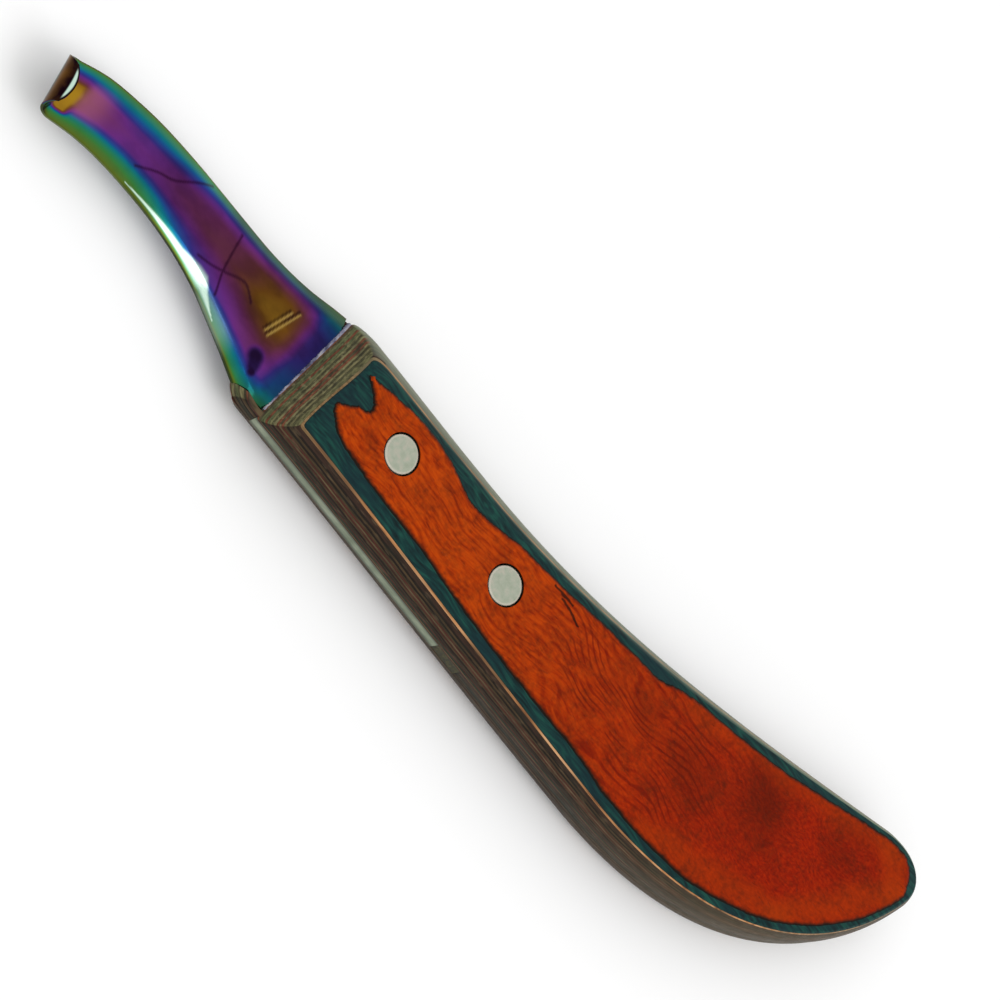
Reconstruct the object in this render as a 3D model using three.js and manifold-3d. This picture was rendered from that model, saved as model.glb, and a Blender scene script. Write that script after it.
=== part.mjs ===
// Farrier's hoof knife: a hooked steel blade whose flat tang is held by two solid rivets
// in the slot of a handle pressed from dyed wood veneers.
// Millimetres. +X runs from the hook to the butt, +Z is up, and z = 0 is the face it lies on.
// The origin is on that face, midway between the two rivets.

import * as THREE from 'three';
import * as BufferGeometryUtils from 'three/addons/utils/BufferGeometryUtils.js';
import Module from 'manifold-3d';

const wasm = await Module();
wasm.setup();

// ---- driving dimensions -------------------------------------------------------------

const HANDLE_THICKNESS = 12.3;
const MID_Z = HANDLE_THICKNESS / 2;

const TANG_THICKNESS = 2.3;
const TANG_BOTTOM_Z = MID_Z - TANG_THICKNESS / 2;
const TANG_TOP_Z = MID_Z + TANG_THICKNESS / 2;

const RIVET_DIAMETER = 6.35;
const RIVET_SPACING = 27.3;
const RIVET_CLEARANCE = 0.2;
const RIVET_SIDES = 16;

const FACE_VENEER = 0.4;
const RIM_VENEER = 0.4;
const LINE_VENEER = 0.25;
const CORE_PLIES_PER_SIDE = 9;
const MIDDLE_PLIES = 5;

const HANDLE_LOW_Y = -13.6;
const HANDLE_HIGH_Y = 11.3;
const UPPER_FRONT_X = -33;
const LOWER_FRONT_X = -36;
const FRONT_SKEW = 0.8;
const LOWER_FRONT_SKEW = 2.4;
const FRONT_BEVEL = 5.8;
const LOW_CORNER = 0.7;
const SIDE_ROUNDING_POWER = 2.6;
const FACE_SANDED_BACK = 1.5;
const FACE_EDGE_SLOPE = 0.3;
const RIM_SANDED_BACK = 0.6;
const SANDED_SHARE_AT_BUTT = 0.3;
const BAY_X = 1;
const BAY_DEPTH = 1.9;
const BAY_HALF_LENGTH = 6;
const LINE_INSET_FRONT = 3.4;
const LINE_INSET_BUTT = 1.2;
const BUTT_X = 95;

const TANG_SIDE_END_X = 14;
const TANG_END_X = 19;
const SLOT_END_X = 19.5;

const HOOK_RADIUS = 3;
const HOOK_TURN = THREE.MathUtils.degToRad(160);
const HOOK_CORNER_CUT = THREE.MathUtils.degToRad(26);
const HOOK_END_WIDTH_SHARE = 0.64;
const HOOK_END_SHIFT = 0.07;
const BLADE_TIP_THICKNESS = 1.3;
const EDGE_THICKNESS = 0.5;
const BEVEL_WIDTH = 2.8;
const TIP_BEVEL_WIDTH = 1.8;
const HOLLOW_DEPTH = 0.15;

// ---- materials ----------------------------------------------------------------------

const material = (color, roughness, metalness) =>
  new THREE.MeshStandardMaterial({ color, roughness, metalness });

const heatColouredSteel = material(0x6a3a78, 0.22, 1);
const aluminium = material(0xa9b8a8, 0.4, 1);
const orangeVeneer = material(0xa83a0a, 0.5, 0);
const tealVeneer = material(0x0f4442, 0.5, 0);
const tanVeneer = material(0xb9794a, 0.55, 0);
const brownVeneer = material(0x4a3426, 0.6, 0);
const greyVeneer = material(0x5c5f4c, 0.6, 0);

// ---- handle outline -----------------------------------------------------------------

const toward = (degrees) => {
  const angle = THREE.MathUtils.degToRad(degrees);
  return new THREE.Vector2(Math.cos(angle), Math.sin(angle));
};
const LOW_SIDE = toward(-90);
const HIGH_SIDE = toward(90);

// Samples along each of the outline's eight curves: the first five run round the two sides and
// the butt, and the last three round the front.
const STEPS_PER_CURVE = [7, 13, 7, 12, 3, 3, 1, 3];
const SIDE_SAMPLES = STEPS_PER_CURVE.slice(0, 5).reduce((sum, steps) => sum + steps, 0);

// How far the rounded side stands in from the widest outline, at a height above mid-plane.
function sideInset(height, x) {
  const share = THREE.MathUtils.smoothstep(x, UPPER_FRONT_X, BUTT_X);
  const insetAtLine = THREE.MathUtils.lerp(LINE_INSET_FRONT, LINE_INSET_BUTT, share);
  const lineHeight = MID_Z - FACE_VENEER - RIM_VENEER;
  return insetAtLine * (Math.abs(height) / lineHeight) ** SIDE_ROUNDING_POWER;
}

// How far the bevelled front end stands back, at a height above mid-plane.
function frontInset(height) {
  const tangHalf = TANG_THICKNESS / 2;
  const rise = Math.max(0, Math.abs(height) - tangHalf);
  return (FRONT_BEVEL * rise) / (MID_Z - tangHalf);
}

// The handle's outline at height z, anticlockwise from the front corner of the low side.
// Each control point of the widest outline is drawn in along its own outward direction, and
// drawn in by a little more where a veneer is sanded back.
function outlineAt(z, half, sandedBack = 0) {
  const height = z - MID_Z;
  const isUpper = half === 'upper';
  const frontX = (isUpper ? UPPER_FRONT_X : LOWER_FRONT_X) + frontInset(height) + sandedBack;
  const skew = isUpper ? FRONT_SKEW : LOWER_FRONT_SKEW;
  const lowX = frontX - skew;
  const highX = frontX + skew;
  const at = (x, y, outward) => {
    const sandedLess = THREE.MathUtils.smoothstep(x, BUTT_X / 3, BUTT_X);
    const sandedShare = THREE.MathUtils.lerp(1, SANDED_SHARE_AT_BUTT, sandedLess);
    const inset = sideInset(height, x) + sandedBack * sandedShare;
    return new THREE.Vector2(x - inset * outward.x, y - inset * outward.y);
  };
  const low = (x, rise = 0) => at(x, HANDLE_LOW_Y + rise, LOW_SIDE);
  const high = (x, rise = 0) => at(x, HANDLE_HIGH_Y + rise, HIGH_SIDE);
  const noseStart = at(100.6, 21.6, toward(-8));
  const noseEnd = at(89.5, 28, toward(105));
  const curves = [
    [low(lowX + LOW_CORNER), low(-12, 0.5), low(18, 0.1), low(48, 1)],
    [low(48, 1), at(74, -12, toward(-76)), at(95.6, -1, toward(-41)), noseStart],
    [noseStart, at(101, 26, toward(18)), at(96.2, 29.3, toward(63)), noseEnd],
    [noseEnd, at(60, 19.5, toward(105)), high(32), high(0)],
    [high(0), high(-8, -0.15), high(-18), high(highX + 5, -0.1)],
    [high(highX + 5, -0.1), high(highX + 1.5), high(highX, -0.6), high(highX, -1.6)],
    [high(highX, -1.6), high(highX, -6), low(lowX, 6), low(lowX, LOW_CORNER)],
    [low(lowX, LOW_CORNER), low(lowX, LOW_CORNER / 4), low(lowX + LOW_CORNER / 4), low(lowX + LOW_CORNER)],
  ];
  return curves.flatMap((controls, index) => {
    const steps = STEPS_PER_CURVE[index];
    const curve = new THREE.CubicBezierCurve(...controls);
    return Array.from({ length: steps }, (_, i) => curve.getPoint(i / steps));
  });
}

// ---- solids -------------------------------------------------------------------------

function circle(centreX, radius, sides) {
  return Array.from({ length: sides }, (_, i) => {
    const angle = (2 * Math.PI * i) / sides;
    return new THREE.Vector2(centreX + radius * Math.cos(angle), radius * Math.sin(angle));
  });
}

const rivetXs = [-RIVET_SPACING / 2, RIVET_SPACING / 2];
const holeRadius = RIVET_DIAMETER / 2 + RIVET_CLEARANCE;
const rivetHoleOutlines = rivetXs.map((x) => circle(x, holeRadius, RIVET_SIDES));

// A flat layer between two heights, with its own outline at each and straight round holes.
function layerGeometry(lowOutline, highOutline, lowZ, highZ, layerHoles) {
  const positions = [];
  const indices = [];
  const addCap = (outline, z, facesUp) => {
    const first = positions.length / 3;
    [outline, ...layerHoles].flat().forEach((p) => positions.push(p.x, p.y, z));
    for (const [a, b, c] of THREE.ShapeUtils.triangulateShape([...outline], [...layerHoles])) {
      const corner = facesUp ? [a, b, c] : [a, c, b];
      indices.push(...corner.map((k) => first + k));
    }
    return first;
  };
  const low = addCap(lowOutline, lowZ, false);
  const high = addCap(highOutline, highZ, true);
  let offset = 0;
  [lowOutline, ...layerHoles].forEach((loop, loopIndex) => {
    const outside = loopIndex === 0;
    loop.forEach((_, i) => {
      const j = (i + 1) % loop.length;
      const [a, b] = outside ? [i, j] : [j, i];
      const [la, lb, ha, hb] = [low + offset + a, low + offset + b, high + offset + a, high + offset + b];
      indices.push(la, lb, hb, la, hb, ha);
    });
    offset += loop.length;
  });
  const geometry = new THREE.BufferGeometry();
  geometry.setAttribute('position', new THREE.Float32BufferAttribute(positions, 3));
  geometry.setIndex(indices);
  return geometry;
}

const group = new THREE.Group();

function addMesh(name, geometry, meshMaterial) {
  const mesh = new THREE.Mesh(geometry, meshMaterial);
  mesh.name = name;
  group.add(mesh);
}

// ---- veneers ------------------------------------------------------------------------

// A veneer between two heights given in either order, drilled for the rivets.
function addVeneer(name, outerZ, innerZ, [outerOutline, innerOutline], meshMaterial) {
  const geometry = outerZ > innerZ
    ? layerGeometry(innerOutline, outerOutline, innerZ, outerZ, rivetHoleOutlines)
    : layerGeometry(outerOutline, innerOutline, outerZ, innerZ, rivetHoleOutlines);
  addMesh(name, geometry, meshMaterial);
}

// The ragged front of the face veneer: two lobes with a notch between them.
const FACE_CROWN = [
  [-20.5, 5.9], [-26, 4.3], [-24.4, 2.8], [-22.6, 0.6], [-24.8, -1], [-27, -3.6], [-26, -5.4],
  [-22.5, -6.9],
];

// The face veneer is sanded through near the edges, most in one bay on the high side.
function faceOutline(z, half, sandedBack) {
  const sides = outlineAt(z, half, sandedBack).slice(1, SIDE_SAMPLES);
  sides.forEach((p) => {
    if (p.y > 0) p.y -= BAY_DEPTH * Math.exp(-(((p.x - BAY_X) / BAY_HALF_LENGTH) ** 2));
  });
  const crown = FACE_CROWN.map(([x, y]) => new THREE.Vector2(x, y));
  return [...sides, ...crown];
}

// The three thin veneers of one face, listed from the outside in. Returns where they end.
function addFaceVeneers(half) {
  const zAtDepth = (depth) => (half === 'upper' ? HANDLE_THICKNESS - depth : depth);
  const depths = [0, FACE_VENEER, FACE_VENEER + RIM_VENEER, FACE_VENEER + RIM_VENEER + LINE_VENEER];
  const [faceZ, rimZ, lineZ, coreZ] = depths.map(zAtDepth);
  const face = [
    faceOutline(faceZ, half, FACE_SANDED_BACK + FACE_EDGE_SLOPE),
    faceOutline(rimZ, half, FACE_SANDED_BACK),
  ];
  const rim = [outlineAt(rimZ, half, RIM_SANDED_BACK), outlineAt(lineZ, half)];
  const line = [outlineAt(lineZ, half), outlineAt(coreZ, half)];
  addVeneer(`${half}_face_veneer`, faceZ, rimZ, face, orangeVeneer);
  addVeneer(`${half}_rim_veneer`, rimZ, lineZ, rim, tealVeneer);
  addVeneer(`${half}_line_veneer`, lineZ, coreZ, line, tanVeneer);
  return coreZ;
}

// The dark plies between the face veneers and the tang.
function addCoreVeneers(half, outerZ, tangZ) {
  for (let i = 0; i < CORE_PLIES_PER_SIDE; i += 1) {
    const zAt = (k) => THREE.MathUtils.lerp(outerZ, tangZ, k / CORE_PLIES_PER_SIDE);
    const outlines = [outlineAt(zAt(i), half), outlineAt(zAt(i + 1), half)];
    const colour = i % 2 ? greyVeneer : brownVeneer;
    addVeneer(`${half}_core_veneer_${i + 1}`, zAt(i), zAt(i + 1), outlines, colour);
  }
}

addCoreVeneers('upper', addFaceVeneers('upper'), TANG_TOP_Z);
addCoreVeneers('lower', addFaceVeneers('lower'), TANG_BOTTOM_Z);

// ---- blade and tang -----------------------------------------------------------------

const spline = (pairs) => new THREE.SplineCurve(pairs.map(([x, y]) => new THREE.Vector2(x, y)));

// Plan of the flat blade from the handle to where the hook begins.
const lowEdge = spline([
  [-33.4, -12.9], [-37, -12.8], [-40, -11.8], [-45, -10], [-50, -8.4], [-55, -6.9], [-61, -5.8],
  [-68, -5.3], [-75, -5.45], [-81, -5.95], [-86, -6.8], [-91.6, -8.4],
]);
const highEdge = spline([
  [-32.6, 10.9], [-35.2, 10.3], [-40, 9.05], [-45, 8.2], [-50, 7.75], [-56, 7.6], [-62, 7.5],
  [-68, 7.35], [-75, 6.9], [-81, 6.1], [-88, 4.6], [-93.7, 2.3],
]);
const BLADE_STATIONS = 30;
const HOOK_STATIONS = 12;

// One section across the blade, from its low edge to its high edge: the top is a shallow
// hollow between two bevels, and the back is flat.
const SECTION = [
  [0, 0], [0.5, 0.55], [1, 1], [1.6, 1], [2, 1], [2.4, 1], [3, 1], [3.5, 0.55], [4, 0],
];

function bladeSection(low, high, thickness, bevel) {
  const width = low.distanceTo(high);
  const bevelShare = bevel / width;
  const acrossOf = (u) => {
    if (u <= 1) return u * bevelShare;
    if (u >= 3) return 1 - (4 - u) * bevelShare;
    return THREE.MathUtils.lerp(bevelShare, 1 - bevelShare, (u - 1) / 2);
  };
  return SECTION.map(([u, rise]) => {
    const hollow = HOLLOW_DEPTH * Math.max(0, 1 - (u - 2) ** 2);
    const topHeight = THREE.MathUtils.lerp(EDGE_THICKNESS, thickness, rise) - hollow * rise;
    return { across: acrossOf(u), topHeight };
  });
}

const bladeSections = [];
for (let i = 0; i <= BLADE_STATIONS; i += 1) {
  const t = i / BLADE_STATIONS;
  const low = lowEdge.getPoint(t);
  const high = highEdge.getPoint(t);
  const thickness = THREE.MathUtils.lerp(TANG_THICKNESS, BLADE_TIP_THICKNESS, t ** 1.5);
  const bevel = THREE.MathUtils.lerp(BEVEL_WIDTH, TIP_BEVEL_WIDTH, t);
  const top = [];
  const bottom = [];
  for (const { across, topHeight } of bladeSection(low, high, thickness, bevel)) {
    const p = low.clone().lerp(high, across);
    top.push(new THREE.Vector3(p.x, p.y, TANG_BOTTOM_Z + topHeight));
    bottom.push(new THREE.Vector3(p.x, p.y, TANG_BOTTOM_Z));
  }
  bladeSections.push([...top, ...bottom.reverse()]);
}

// The hook rolls the strip up and back about an axis across the blade. Its free end is
// rounded, so the two sides turn less than the middle.
const tipLow = lowEdge.getPoint(1);
const tipHigh = highEdge.getPoint(1);
const tipAcross = tipHigh.clone().sub(tipLow).normalize();
const tipForward = new THREE.Vector2(-tipAcross.y, tipAcross.x);
for (let i = 1; i <= HOOK_STATIONS; i += 1) {
  const t = i / HOOK_STATIONS;
  const top = [];
  const bottom = [];
  for (const { across, topHeight } of bladeSection(tipLow, tipHigh, BLADE_TIP_THICKNESS, TIP_BEVEL_WIDTH)) {
    const offCentre = 2 * across - 1;
    const turn = t * (HOOK_TURN - HOOK_CORNER_CUT * offCentre ** 2);
    const narrowing = THREE.MathUtils.lerp(1, HOOK_END_WIDTH_SHARE, t ** 1.5);
    const shift = HOOK_END_SHIFT * t ** 1.5;
    const p = tipLow.clone().lerp(tipHigh, (1 + offCentre * narrowing) / 2 - shift);
    const placeOnArc = (radius) => {
      const forward = tipForward.clone().multiplyScalar(radius * Math.sin(turn));
      const z = TANG_BOTTOM_Z + HOOK_RADIUS - radius * Math.cos(turn);
      return new THREE.Vector3(p.x + forward.x, p.y + forward.y, z);
    };
    const thin = THREE.MathUtils.lerp(1, 0.5, t ** 3);
    top.push(placeOnArc(HOOK_RADIUS - topHeight * thin));
    bottom.push(placeOnArc(HOOK_RADIUS));
  }
  bladeSections.push([...top, ...bottom.reverse()]);
}

// Skins a run of equal-length closed sections and closes both ends.
function loftGeometry(sections) {
  const count = sections[0].length;
  const positions = sections.flat().flatMap((p) => [p.x, p.y, p.z]);
  const indices = [];
  for (let s = 0; s < sections.length - 1; s += 1) {
    for (let i = 0; i < count; i += 1) {
      const j = (i + 1) % count;
      const [a, b, c, d] = [s * count + i, s * count + j, (s + 1) * count + j, (s + 1) * count + i];
      indices.push(a, b, c, a, c, d);
    }
  }
  const half = count / 2;
  const addEnd = (first, flipped) => {
    for (let i = 0; i < half - 1; i += 1) {
      const [a, b, c, d] = [first + i, first + i + 1, first + count - 2 - i, first + count - 1 - i];
      const quad = flipped ? [a, c, b, a, d, c] : [a, b, c, a, c, d];
      indices.push(...quad);
    }
  };
  addEnd(0, true);
  addEnd((sections.length - 1) * count, false);
  const geometry = new THREE.BufferGeometry();
  geometry.setAttribute('position', new THREE.Float32BufferAttribute(positions, 3));
  geometry.setIndex(indices);
  return geometry;
}

function toManifold(geometry) {
  const bare = geometry.clone();
  bare.deleteAttribute('normal');
  bare.deleteAttribute('uv');
  const merged = BufferGeometryUtils.mergeVertices(bare, 1e-4);
  return new wasm.Manifold(new wasm.Mesh({
    numProp: 3,
    vertProperties: new Float32Array(merged.attributes.position.array),
    triVerts: new Uint32Array(merged.index.array),
  }));
}

function fromManifold(solid) {
  const mesh = solid.getMesh();
  const geometry = new THREE.BufferGeometry();
  geometry.setAttribute('position', new THREE.Float32BufferAttribute(mesh.vertProperties, 3));
  geometry.setIndex([...mesh.triVerts]);
  return geometry;
}

function blockManifold(fromX, toX) {
  const block = new THREE.BoxGeometry(toX - fromX, 100, 100);
  block.translate((fromX + toX) / 2, 0, 0);
  return toManifold(block);
}

// The tang's plan: the full width of the handle, ending in a shallow arc past the rear rivet.
function tangEnvelope() {
  const reach = 40;
  const shape = new THREE.Shape();
  shape.moveTo(2 * UPPER_FRONT_X, -reach);
  shape.lineTo(TANG_SIDE_END_X, -reach);
  shape.lineTo(TANG_SIDE_END_X, HANDLE_LOW_Y);
  const bulge = 2 * TANG_END_X - TANG_SIDE_END_X;
  shape.quadraticCurveTo(bulge, (HANDLE_LOW_Y + HANDLE_HIGH_Y) / 2, TANG_SIDE_END_X, HANDLE_HIGH_Y + 1);
  shape.lineTo(TANG_SIDE_END_X, reach);
  shape.lineTo(2 * UPPER_FRONT_X, reach);
  return new THREE.ExtrudeGeometry(shape, { depth: reach, bevelEnabled: false, curveSegments: 10 });
}

function tangLevel(lowZ, highZ) {
  const outline = outlineAt(TANG_TOP_Z, 'upper');
  return layerGeometry(outline, outline, lowZ, highZ, []);
}

const rivetHoles = rivetXs.map((x) => {
  const sides = RIVET_SIDES;
  const drill = new THREE.CylinderGeometry(holeRadius, holeRadius, HANDLE_THICKNESS, sides);
  drill.rotateX(Math.PI / 2);
  drill.translate(x, 0, MID_Z);
  return toManifold(drill);
});

const tang = toManifold(tangLevel(TANG_BOTTOM_Z, TANG_TOP_Z)).intersect(toManifold(tangEnvelope()));
const bladeWithTang = toManifold(loftGeometry(bladeSections)).add(tang);
const drilledBlade = rivetHoles.reduce((solid, hole) => solid.subtract(hole), bladeWithTang);
addMesh('blade', fromManifold(drilledBlade), heatColouredSteel);

// ---- middle veneers -----------------------------------------------------------------

// Behind the tang the handle is solid: the middle veneers start at the slot's end.
const behindSlot = blockManifold(SLOT_END_X, 200);
const middleStep = TANG_THICKNESS / MIDDLE_PLIES;
for (let i = 0; i < MIDDLE_PLIES; i += 1) {
  const lowZ = TANG_BOTTOM_Z + i * middleStep;
  const layer = toManifold(tangLevel(lowZ, lowZ + middleStep));
  const colour = i % 2 ? brownVeneer : greyVeneer;
  addMesh(`middle_veneer_${i + 1}`, fromManifold(layer.intersect(behindSlot)), colour);
}

// ---- rivets -------------------------------------------------------------------------

['front_rivet', 'rear_rivet'].forEach((name, i) => {
  const radius = RIVET_DIAMETER / 2;
  const rivet = new THREE.CylinderGeometry(radius, radius, HANDLE_THICKNESS, RIVET_SIDES);
  rivet.rotateX(Math.PI / 2);
  addMesh(name, rivet, aluminium);
  group.children.at(-1).position.set(rivetXs[i], 0, MID_Z);
});

export default group;
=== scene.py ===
"""Looks of a farrier's hoof knife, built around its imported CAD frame.

Lengths are in millimetres in the frame's axes until a mesh is made: +X from the hook to the butt,
+Z up, z = 0 the face it lies on. The blade, the tang, each rivet and each group of veneers is one
closed piece. The glue and the splinter beside the blade are drawn here only: the CAD has neither.
"""

import math

import bmesh
import bpy
import numpy as np
from mathutils import Matrix, Vector


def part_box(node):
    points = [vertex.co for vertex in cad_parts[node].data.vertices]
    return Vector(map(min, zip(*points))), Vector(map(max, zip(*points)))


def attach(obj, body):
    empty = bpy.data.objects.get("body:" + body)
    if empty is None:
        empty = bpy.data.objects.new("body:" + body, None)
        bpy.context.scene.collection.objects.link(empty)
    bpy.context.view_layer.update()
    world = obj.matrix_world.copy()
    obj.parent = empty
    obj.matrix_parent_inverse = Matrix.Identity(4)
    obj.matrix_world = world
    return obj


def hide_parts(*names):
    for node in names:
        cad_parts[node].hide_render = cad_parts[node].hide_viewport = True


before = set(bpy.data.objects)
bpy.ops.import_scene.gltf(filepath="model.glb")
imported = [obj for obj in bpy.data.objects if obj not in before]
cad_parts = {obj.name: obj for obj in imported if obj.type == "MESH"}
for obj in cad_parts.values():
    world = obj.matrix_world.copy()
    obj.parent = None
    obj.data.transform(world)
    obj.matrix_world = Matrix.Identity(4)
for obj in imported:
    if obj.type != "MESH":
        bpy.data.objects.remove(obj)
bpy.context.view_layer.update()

MM = 0.001
BODY = "root"


def box_mm(node):
    """The lowest and highest corners of a CAD node, in millimetres."""
    low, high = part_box(node)
    return np.array(low) / MM, np.array(high) / MM


# ---- sizes taken from the frame ----

THICKNESS = box_mm("front_rivet")[1][2]
MID_Z = THICKNESS / 2
TANG_BOTTOM_Z = box_mm("middle_veneer_1")[0][2]
TANG_TOP_Z = box_mm("middle_veneer_5")[1][2]
TANG_THICKNESS = TANG_TOP_Z - TANG_BOTTOM_Z
RIVET_XS = [float(np.mean([b[0] for b in box_mm(n)])) for n in ("front_rivet", "rear_rivet")]
RIVET_RADIUS = (box_mm("front_rivet")[1][1] - box_mm("front_rivet")[0][1]) / 2
FACE_BOTTOM_Z = box_mm("upper_face_veneer")[0][2]
RIM_BOTTOM_Z = box_mm("upper_rim_veneer")[0][2]
LINE_BOTTOM_Z = box_mm("upper_line_veneer")[0][2]
SLOT_END_X = float(box_mm("middle_veneer_1")[0][0])

# ---- shape values that follow the CAD part ----

HANDLE_LOW_Y = -13.6
HANDLE_HIGH_Y = 11.3
FRONT_X = {"upper": -33.0, "lower": -36.0}
FRONT_SKEW = {"upper": 0.8, "lower": 2.4}
FRONT_BEVEL = 5.8
LOW_CORNER = 0.7
ROUNDING_POWER = 2.6
LINE_INSET_FRONT = 3.4
LINE_INSET_BUTT = 1.2
BUTT_X = 95.0
SANDED_SHARE_AT_BUTT = 0.3
RIM_SANDED_BACK = 0.6
LINE_HEIGHT = MID_Z - 0.8
PLIES_PER_HALF = 9
MIDDLE_PLIES = 5
TANG_SIDE_END_X = 14.0
TANG_END_X = 19.0

# How far the drawn wood stays inside the CAD's, and the gaps round the rivets and the tang.
SKIN = 0.08
HOLE_RADIUS = RIVET_RADIUS + 0.26
TANG_GAP = 0.02

HOOK_RADIUS = 2.98
HOOK_TURN = math.radians(160)
HOOK_CORNER_CUT = math.radians(26)
HOOK_END_WIDTH = 0.64
HOOK_END_SHIFT = 0.07
TIP_THICKNESS = 1.3
EDGE_THICKNESS = 0.5
BEVEL_WIDTH = 2.8
TIP_BEVEL_WIDTH = 1.8
HOLLOW_DEPTH = 0.15
BEVEL_CRISPNESS = 7.0


def smoothstep(x, low, high):
    t = np.clip((np.asarray(x, float) - low) / (high - low), 0, 1)
    return t * t * (3 - 2 * t)


def lerp(a, b, t):
    return a + (b - a) * t


RIPPLE_WAVES = 6
RIPPLE_START = 3.0
RIPPLE_STEP = 1.7


def ripple(t, seed):
    """A smooth irregular wave of about unit size along t, the same on every run."""
    rng = np.random.default_rng(seed)
    total = np.zeros_like(np.asarray(t, float))
    for k in range(RIPPLE_WAVES):
        frequency = RIPPLE_START * RIPPLE_STEP**k
        shift = rng.uniform(0, 2 * math.pi)
        size = rng.uniform(0.5, 1)
        total += np.sin(t * frequency + shift) * size / (k + 1) ** 0.5
    return total / RIPPLE_WAVES**0.5


# ---- the handle's outline ----

# Points along each of the outline's eight curves.
STEPS_PER_CURVE = [44, 84, 48, 84, 20, 16, 36, 16]


def toward(degrees):
    angle = math.radians(degrees)
    return np.array([math.cos(angle), math.sin(angle)])


def bezier(controls, steps):
    a, b, c, d = (np.asarray(p, float) for p in controls)
    t = (np.arange(steps) / steps)[:, None]
    return a * (1 - t) ** 3 + 3 * b * t * (1 - t) ** 2 + 3 * c * t**2 * (1 - t) + d * t**3


def outline_at(z, half, sanded=0.0):
    """The handle's outline at height z, anticlockwise from the front corner of the low side."""
    height = z - MID_Z
    tang_half = TANG_THICKNESS / 2
    sanded += SKIN
    bevel = FRONT_BEVEL * max(0.0, abs(height) - tang_half) / (MID_Z - tang_half)
    front_x = FRONT_X[half] + bevel + sanded
    low_x, high_x = front_x - FRONT_SKEW[half], front_x + FRONT_SKEW[half]

    def at(x, y, outward):
        line = lerp(LINE_INSET_FRONT, LINE_INSET_BUTT, smoothstep(x, FRONT_X["upper"], BUTT_X))
        inset = line * (abs(height) / LINE_HEIGHT) ** ROUNDING_POWER
        inset += sanded * lerp(1, SANDED_SHARE_AT_BUTT, smoothstep(x, BUTT_X / 3, BUTT_X))
        return np.array([x, y]) - inset * outward

    def low(x, rise=0.0):
        return at(x, HANDLE_LOW_Y + rise, toward(-90))

    def high(x, rise=0.0):
        return at(x, HANDLE_HIGH_Y + rise, toward(90))

    start, low_join, high_join = low(low_x + LOW_CORNER), low(48, 1), high(0)
    nose_start, nose_end = at(100.6, 21.6, toward(-8)), at(89.5, 28, toward(105))
    shoulder, high_corner = high(high_x + 5, -0.1), high(high_x, -1.6)
    low_corner = low(low_x, LOW_CORNER)
    quarter = LOW_CORNER / 4
    curves = [
        [start, low(-12, 0.5), low(18, 0.1), low_join],
        [low_join, at(74, -12, toward(-76)), at(95.6, -1, toward(-41)), nose_start],
        [nose_start, at(101, 26, toward(18)), at(96.2, 29.3, toward(63)), nose_end],
        [nose_end, at(60, 19.5, toward(105)), high(32), high_join],
        [high_join, high(-8, -0.15), high(-18), shoulder],
        [shoulder, high(high_x + 1.5), high(high_x, -0.6), high_corner],
        [high_corner, high(high_x, -6), low(low_x, 6), low_corner],
        [low_corner, low(low_x, quarter), low(low_x + quarter), start],
    ]
    return np.concatenate([bezier(c, n) for c, n in zip(curves, STEPS_PER_CURVE)])


def spline_between(a, b, c, d, t):
    """Points from b to c on the smooth curve through a, b, c and d, for t from 0 to 1."""
    return (2 * b + (c - a) * t + (2 * a - 5 * b + 4 * c - d) * t**2 + (3 * b - a - 3 * c + d) * t**3) / 2


def closed_spline(points, steps):
    """A smooth closed curve through the points, with that many samples between each pair."""
    p = np.asarray(points, float)
    before, after, beyond = np.roll(p, 1, 0), np.roll(p, -1, 0), np.roll(p, -2, 0)
    t = (np.arange(steps) / steps)[None, :, None]
    a, b, c, d = (q[:, None, :] for q in (before, p, after, beyond))
    return spline_between(a, b, c, d, t).reshape(-1, 2)


def open_spline(points, t):
    """A point at each t from 0 to 1 on a smooth open curve through the points."""
    p = np.asarray(points, float)
    last = len(p) - 1
    place = np.clip(np.asarray(t, float) * last, 0, last - 1e-9)
    i = place.astype(int)
    w = (place - i)[..., None]
    a, b, c, d = p[np.maximum(i - 1, 0)], p[i], p[i + 1], p[np.minimum(i + 2, last)]
    return spline_between(a, b, c, d, w)


def outward_normals(loop):
    along = np.roll(loop, -1, 0) - np.roll(loop, 1, 0)
    along /= np.linalg.norm(along, axis=1, keepdims=True) + 1e-12
    return np.stack([along[:, 1], -along[:, 0]], 1)


def smoothed(loop, passes):
    for _ in range(passes):
        loop = (np.roll(loop, 1, 0) + 2 * loop + np.roll(loop, -1, 0)) / 4
    return loop


def circle(centre_x, radius, sides):
    angle = np.arange(sides) * 2 * math.pi / sides
    return np.stack([centre_x + radius * np.cos(angle), radius * np.sin(angle)], 1)


# ---- meshes ----


def new_piece(name, mesh, material, replaced=(), sharp_degrees=32):
    """Links the mesh as a piece on the one body, with its material and what it stands for."""
    mesh.shade_smooth()
    mesh.set_sharp_from_angle(angle=math.radians(sharp_degrees))
    mesh.materials.append(material)
    piece = bpy.data.objects.new(name, mesh)
    bpy.context.scene.collection.objects.link(piece)
    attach(piece, BODY)
    if replaced:
        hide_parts(*replaced)


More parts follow.
